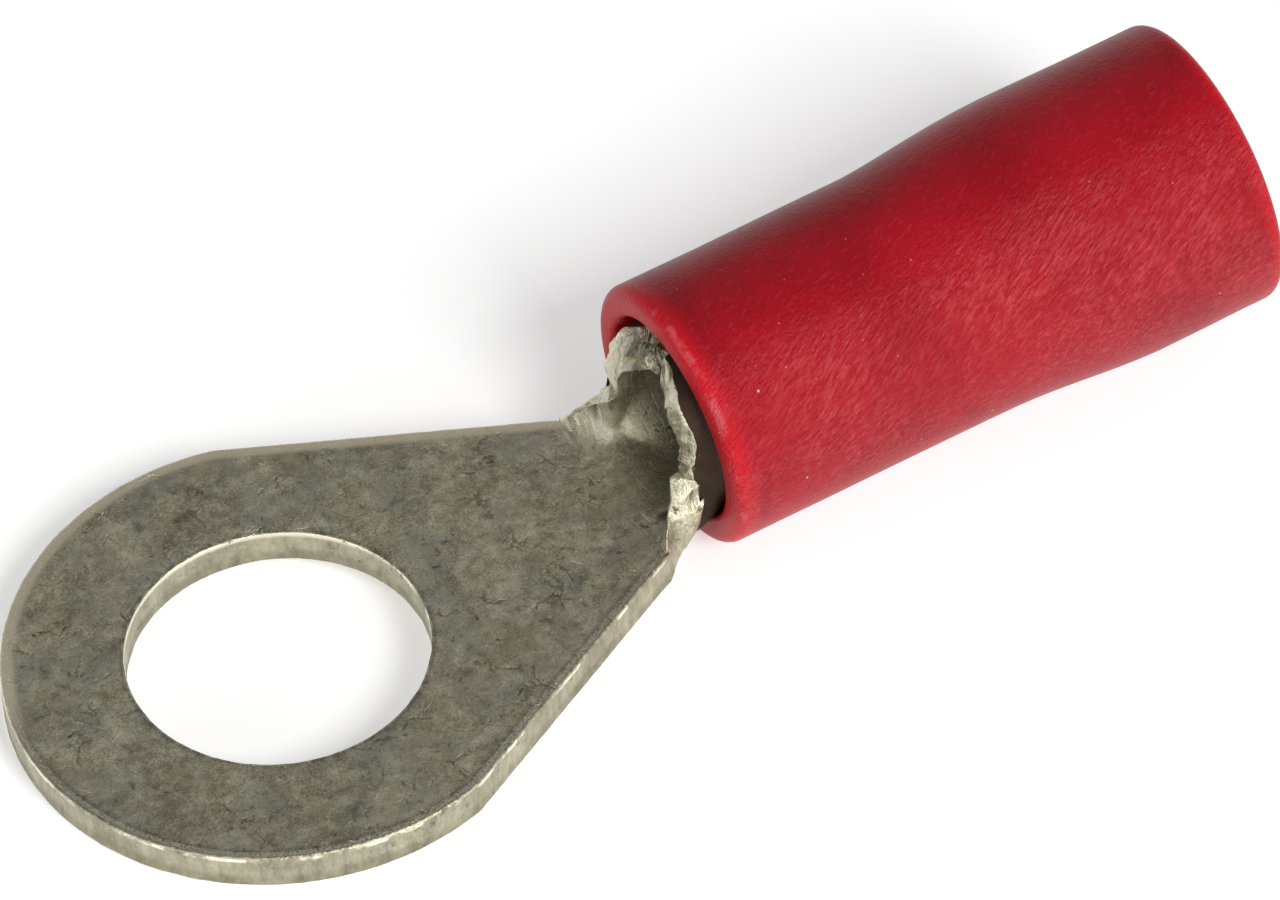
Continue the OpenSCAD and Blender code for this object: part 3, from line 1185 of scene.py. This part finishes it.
    def root_wear(self, spot: Vector) -> Vector:
        """Tearing where the wings leave the trough's sides, with the near one pinched thinner.

        Args:
            spot: The point.

        Returns:
            How far the point is shifted.
        """
        sheet = self.sheet
        start = smooth(clamp((spot.x - sheet.neck_x + 0.05) / 0.3))
        end = 1 - smooth(clamp((spot.x - sheet.barrel_x - 0.1) / 0.5))
        height = 1 - smooth(clamp((spot.z - 1.5) / 0.7))
        share = start * end * height * clamp((abs(spot.y) - 0.95) / 0.3)
        if share <= 0.0:
            return Vector()
        patterns = ((1.9, (3.1, 0.0, 0.0)), (2.3, (0.0, 5.7, 0.0)), (2.6, (0.0, 0.0, 9.2)))
        facets = Vector([1 - 3 * abs(noise.noise(spot * scale + Vector(move))) for scale, move in patterns])
        shift = facets * self.root_facet + noise.noise_vector(spot * 8.0) * self.root_grit
        if spot.y < 0:
            shift.y += self.near_pinch * max(-spot.y - 1.0, 0.0)
        else:
            shift.x += self.far_push * math.sin(math.pi * clamp((spot.x - sheet.neck_x) / sheet.fold_len))
        return shift * share

    def mouth_wear(self, spot: Vector) -> Vector:
        """Ragged front end of the wings: set back at the outside, torn and ridged beside the seam.

        Args:
            spot: The point.

        Returns:
            How far the point is shifted.
        """
        sheet = self.sheet
        axis_z = sheet.sheet_t / 2 + sheet.mid_r
        share = smooth(clamp((spot.x - sheet.barrel_x + 0.10) / 0.09))
        share *= smooth(clamp((spot.z - sheet.sheet_t - 0.15) / 0.4))
        if share <= 0.0:
            return Vector()
        if spot.z > axis_z:
            q = 1 + math.atan2(spot.z - axis_z, abs(spot.y)) / (math.pi / 2)
            inward = sheet.mid_r - math.hypot(spot.y, spot.z - axis_z)
        else:
            q = 1 - (axis_z - spot.z) / sheet.quarter_len(sheet.bend_r)
            inward = sheet.mid_r - abs(spot.y)
        side = 1 if spot.y > 0 else -1
        fade = share * clamp(1 - (spot.x - sheet.front_x(side * q)) / 0.45)
        outer = clamp(0.5 - inward / sheet.sheet_t)
        drawn_in = 0.0
        if side > 0:
            torn = smooth(clamp((q - 1.15) / 0.45))
            back = self.far_chamfer * outer**1.5 * smooth(clamp((q - 0.7) / 0.7))
            back += torn * self.far_ridge * (1 + math.sin(2 * math.pi * outer * 2.0 + 7.0 * q + 0.6))
            back += torn * self.far_ragged * ripple(q * 9.0 + outer * 4.0, 2.2)
        else:
            back = self.near_chamfer * outer * outer * smooth(clamp((q - 0.35) / 0.3))
            back += self.near_ragged * ripple(q * 7.0, outer * 2.5 + 8.0)
            drawn_in = self.near_drawn_in * outer**1.5
        back += self.mouth_grit * ripple(q * 26.0, outer * 9.0 + side)
        radial = Vector((0.0, spot.y, max(spot.z - axis_z, 0.0))).normalized()
        return Vector((back, 0.0, 0.0)) * fade - radial * drawn_in * fade

    def build(self) -> Piece:
        """Models and dresses the terminal.

        Returns:
            The piece.
        """
        piece = self.build_tongue()
        rows = self.extrude_neck(piece)
        self.extrude_wings(piece, rows)
        bpy.ops.mesh.select_all(action="SELECT")
        bpy.ops.mesh.remove_doubles(threshold=MERGE * MM)
        bpy.ops.mesh.normals_make_consistent(inside=False)
        bpy.ops.object.mode_set(mode="OBJECT")
        piece.data.materials.append(TinFace().build(self.sheet))
        piece.data.materials.append(TinCut().build(self.sheet))
        self.thicken(piece)
        self.roll_edges(piece)
        self.wear_edges(piece)
        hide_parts("terminal")
        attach(piece, BODY)
        log.info("%s: %d faces", piece.name, len(piece.data.polygons))
        return piece


@dataclass
class Sleeve:
    """The red sleeve: a soft tube whose rear flares out to take the wire's insulation.

    Lengths are in millimetres.
    """

    front_x: float
    rear_x: float
    axis_z: float
    rear_r: float
    seat_r: float
    barrel_r: float
    barrel_end: float
    front_wall: float = 0.58
    mouth_gap: float = 0.13
    sides: int = 96
    edge_r: float = 0.18
    edge_steps: int = 6
    lip: float = 0.08
    mouth_len: float = 0.9
    funnel_len: float = 0.8
    flare_from: float = 4.0
    flare_to: float = 6.6
    flare_steps: int = 14
    flare_skew: float = 0.55
    skew_deg: float = 39.0
    skew_centre: float = 5.3
    skew_reach: float = 2.0
    rear_taper: float = 0.02
    waver: float = 0.012
    sunk: float = 0.008
    end_fade: float = 0.6
    smooth_deg: float = 50
    name: str = "sleeve_dressed"

    @classmethod
    def from_frame(cls, frame: dict, sheet: FoldedSheet) -> Sleeve:
        """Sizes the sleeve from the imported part.

        Args:
            sheet: The terminal's sheet.

        Returns:
            The sleeve.
        """
        mounts = {mount["name"]: mount for mount in frame["record"]["mounts"]}
        low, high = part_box("sleeve")
        return cls(
            front_x=low.x / MM,
            rear_x=high.x / MM,
            axis_z=(low.z + high.z) / 2 / MM,
            rear_r=(high.z - low.z) / 2 / MM,
            seat_r=mounts["insulation_seat"]["dims"]["r_mm"],
            barrel_r=sheet.bore_r + sheet.sheet_t,
            barrel_end=sheet.end_x,
        )

    def skin(self) -> list[tuple[float, float]]:
        """Rings of the outside, from the front edge to the rear.

        Returns:
            Radius and place along X of each ring.
        """
        edge = self.edge_r
        front = self.front_x
        front_r = self.barrel_r + self.front_wall
        rear_edge = self.rear_x - edge
        quarter = [0.0, *steps(0.0, math.pi / 2, self.edge_steps)]
        rings = [(front_r - edge * (1 - math.sin(turn)), front + edge * (1 - math.cos(turn))) for turn in quarter]
        rings += [(front_r, x) for x in steps(front + edge, front + self.flare_from, 6)[:-1]]
        for share in [0.0, *steps(0.0, 1.0, self.flare_steps)]:
            rings.append((mix(front_r, self.rear_r, smooth(share)), front + mix(self.flare_from, self.flare_to, share)))
        narrow_r = self.rear_r - self.rear_taper
        rings += list(zip(steps(self.rear_r, narrow_r, 4), steps(front + self.flare_to, rear_edge, 4)))[:-1]
        rings += [(narrow_r - edge * (1 - math.cos(turn)), rear_edge + edge * math.sin(turn)) for turn in quarter]
        return rings

    def bore(self) -> list[tuple[float, float]]:
        """Rings of the inside, from the rear back to the front edge.

        Returns:
            Radius and place along X of each ring.
        """
        front = self.front_x
        rear = self.rear_x
        lip = self.lip
        bevel = lip * 0.3
        mouth_r = self.barrel_r + self.mouth_gap
        mouth_end = front + self.mouth_len
        funnel = self.barrel_end + self.funnel_len
        rings = [(self.seat_r + lip, rear), (self.seat_r + bevel, rear - bevel), (self.seat_r, rear - lip)]
        rings += [(self.seat_r, x) for x in steps(rear - lip, funnel, 3)]
        grip = [self.barrel_end, *steps(self.barrel_end, mouth_end + self.mouth_gap, 3)]
        rings += [(self.barrel_r, x) for x in grip]
        rings += [(mouth_r, mouth_end), (mouth_r, front + lip), (mouth_r + bevel, front + bevel)]
        return [*rings, (mouth_r + lip, front)]

    def shape(self, x: float, radius: float, turn: float, outside: bool) -> Vector:
        """Point of the sleeve in metres, with the flare's skew and the skin's waver.

        Args:
            x: Place along the axis.
            radius: Radius there.
            turn: Angle round the axis, from +Y towards +Z.
            outside: Whether the point is on the outer surface.

        Returns:
            The point.
        """
        if outside:
            near = math.exp(-(((x - self.front_x - self.skew_centre) / self.skew_reach) ** 2))
            x -= self.flare_skew * near * math.cos(turn - math.radians(self.skew_deg))
            ends = clamp((x - self.front_x) / self.end_fade) * clamp((self.rear_x - x) / self.end_fade)
            wave = noise.noise(Vector((x * 0.7, math.cos(turn) * 1.4, math.sin(turn) * 1.4)))
            radius += (self.waver * wave - self.sunk) * ends
        return Vector((x, radius * math.cos(turn), self.axis_z + radius * math.sin(turn))) * MM

    def set_ring(self, piece: Piece, radius: float, x: float, outside: bool) -> None:
        """Moves the selected ring of vertices to its place along X and its radius."""
        axis = self.axis_z * MM
        move_selected(piece, lambda co: self.shape(x, radius, math.atan2(co.z - axis, co.y), outside))

    def build(self) -> Piece:
        """Models and dresses the sleeve.

        Returns:
            The piece.
        """
        skin = self.skin()
        radius, x = skin[0]
        upright = Matrix.Translation(Vector((x, 0, self.axis_z)) * MM) @ Matrix.Rotation(math.radians(90), 4, "Y")
        piece = start_ring(self.name, self.sides, radius * MM, upright)
        self.set_ring(piece, radius, x, True)
        for rings, outside in ((skin[1:], True), (self.bore(), False)):
            for radius, x in rings:
                bpy.ops.mesh.extrude_edges_move()
                self.set_ring(piece, radius, x, outside)
        select_parts(piece, lambda edge: edge.is_boundary)
        bpy.ops.mesh.bridge_edge_loops()
        finish_mesh(piece, MERGE, self.smooth_deg)
        piece.data.materials.append(RedVinyl().build(self.front_x, self.rear_x, self.axis_z))
        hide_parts("sleeve")
        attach(piece, BODY)
        log.info("%s: %d faces", piece.name, len(piece.data.polygons))
        return piece


# --- studio


@dataclass(frozen=True)
class Lamp:
    """A square area lamp: its name, where it stands in metres, the length of its side and its watts."""

    name: str
    spot: tuple[float, float, float]
    size: float
    power: float

    def add(self, aim: Vector) -> None:
        """Adds the lamp.

        Args:
            aim: The point that it faces, in metres.
        """
        data = bpy.data.lights.new(self.name, "AREA")
        data.size = self.size
        data.energy = self.power
        lamp = bpy.data.objects.new(self.name, data)
        bpy.context.collection.objects.link(lamp)
        lamp.location = self.spot
        lamp.visible_camera = False
        lamp.rotation_euler = (aim - Vector(self.spot)).to_track_quat("-Z", "Y").to_euler()


@dataclass(frozen=True)
class Studio:
    """White table, soft lamps, world and camera. Lengths are in metres and angles in degrees."""

    floor_size: float = 3.0
    floor_gap: float = 0.00002
    low_line: float = -0.0001
    floor_white: float = 0.86
    floor_glow: float = 0.45
    horizon: float = 0.62
    zenith: float = 0.15
    backing: float = 0.30
    card: float = 0.25
    card_way: tuple[float, float, float] = (0.293, 0.600, 0.744)
    lamp_aim: tuple[float, float, float] = (0.006, 0.0, 0.001)
    lamps: tuple[Lamp, ...] = (
        Lamp("front_box", (0.03, -0.25, 0.22), 0.11, 0.68),
        Lamp("low_fill", (0.10, -0.32, 0.05), 0.12, 0.44),
        Lamp("left_fill", (-0.32, -0.12, 0.10), 0.16, 0.30),
    )
    azimuth: float = -25.8874
    height: float = 48.0088
    roll: float = -5.874
    target: tuple[float, float, float] = (0.0057435, -0.0003063, 0.0014)
    distance: float = 0.4465
    lens: float = 900.0

    def build_floor(self, pieces: Sequence[Piece]) -> None:
        """Adds the floor under the part, tipped so that the ring's edge and the sleeve rest on it.

        Args:
            pieces: The dressed pieces that lie on it.
        """
        low, _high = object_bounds()
        corners = [vertex.co for piece in pieces for vertex in piece.data.vertices if vertex.co.z < self.low_line]
        slope = max(-corner.z / (corner.x - low.x) for corner in corners)
        deselect()
        bpy.ops.mesh.primitive_plane_add(size=self.floor_size)
        floor = bpy.context.object
        floor.name = "floor"
        bpy.ops.object.mode_set(mode="EDIT")
        bpy.ops.mesh.subdivide(number_cuts=4)
        bpy.ops.object.mode_set(mode="OBJECT")
        for vertex in floor.data.vertices:
            vertex.co.z = -(vertex.co.x - low.x) * slope - self.floor_gap
        material, work = new_material("table_white")
        seen = work.node("LightPath", {})
        rays = [Value(work, seen.outputs[f"Is {way} Ray"]) for way in ("Camera", "Glossy", "Transmission")]
        plain_white = work.node("BsdfDiffuse", {"Color": (*(self.floor_white,) * 3, 1.0)})
        glow = work.node("Emission", {"Color": (1, 1, 1, 1), "Strength": self.floor_glow})
        glowing = work.node("AddShader", {0: plain_white.outputs[0], 1: glow.outputs[0]})
        inputs = {0: (rays[0] + rays[1] + rays[2]).clamp(), 1: plain_white.outputs[0], 2: glowing.outputs[0]}
        shown = work.node("MixShader", inputs)
        work.node("OutputMaterial", {"Surface": shown.outputs[0]})
        floor.data.materials.append(material)
        floor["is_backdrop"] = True
        log.info("floor: tipped %.1f degrees", math.degrees(math.atan(slope)))

    def build_world(self) -> None:
        """Adds a soft world: pale round about, dim overhead, with a grey card high on the far side."""
        world = bpy.data.worlds.new("studio")
        bpy.context.scene.world = world
        world.use_nodes = True
        work = NodeWork(world.node_tree)
        way = work.node("TexCoord", {}).outputs["Generated"]
        _across, onward, upward = work.axes(way)
        toward = work.node("VectorMath", {0: way, 1: self.card_way}, operation="DOT_PRODUCT")
        card = Value(work, toward.outputs["Value"]).band(0.78, 0.97)
        around = self.horizon - onward.band(-0.1, 0.7) * self.backing
        strength = around - upward.band(0.2, 0.6) * (around - self.zenith) + card * self.card
        back = work.node("Background", {"Color": (1, 1, 1, 1), "Strength": strength})
        work.node("OutputWorld", {"Surface": back.outputs[0]})

    def build_camera(self) -> None:
        """Adds the camera: a long lens high on the front left, slightly rolled."""
        azimuth, height, roll = (math.radians(angle) for angle in (self.azimuth, self.height, self.roll))
        level = math.cos(height)
        back = Vector((math.sin(azimuth) * level, -math.cos(azimuth) * level, math.sin(height)))
        right = Vector((math.cos(azimuth), math.sin(azimuth), 0))
        up = back.cross(right)
        across = right * math.cos(roll) + up * math.sin(roll)
        above = up * math.cos(roll) - right * math.sin(roll)
        data = bpy.data.cameras.new("camera")
        camera = bpy.data.objects.new("camera", data)
        bpy.context.collection.objects.link(camera)
        place = Matrix((across, above, back)).transposed().to_4x4()
        place.translation = Vector(self.target) + back * self.distance
        camera.matrix_world = place
        data.sensor_width = 36
        data.lens = self.lens
        data.clip_start = 0.1
        data.clip_end = 10
        bpy.context.scene.camera = camera

    def build(self, pieces: Sequence[Piece]) -> None:
        """Builds the whole studio.

        Args:
            pieces: The dressed pieces that lie on the floor.
        """
        self.build_floor(pieces)
        self.build_world()
        for lamp in self.lamps:
            lamp.add(Vector(self.lamp_aim))
        self.build_camera()
        bpy.context.scene.view_settings.view_transform = "Standard"
        log.info("studio: %d lamps, world and camera", len(self.lamps))


def main() -> None:
    """Builds the dressed part and its studio."""
    logging.basicConfig(level=logging.INFO, format="%(name)s %(message)s")
    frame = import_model()
    noise.seed_set(WEAR_SEED)
    deselect()
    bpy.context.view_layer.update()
    sheet = FoldedSheet.from_frame(frame)
    pieces = [Terminal(sheet).build(), Sleeve.from_frame(frame, sheet).build()]
    Studio().build(pieces)


if __name__ == "__main__":
    main()
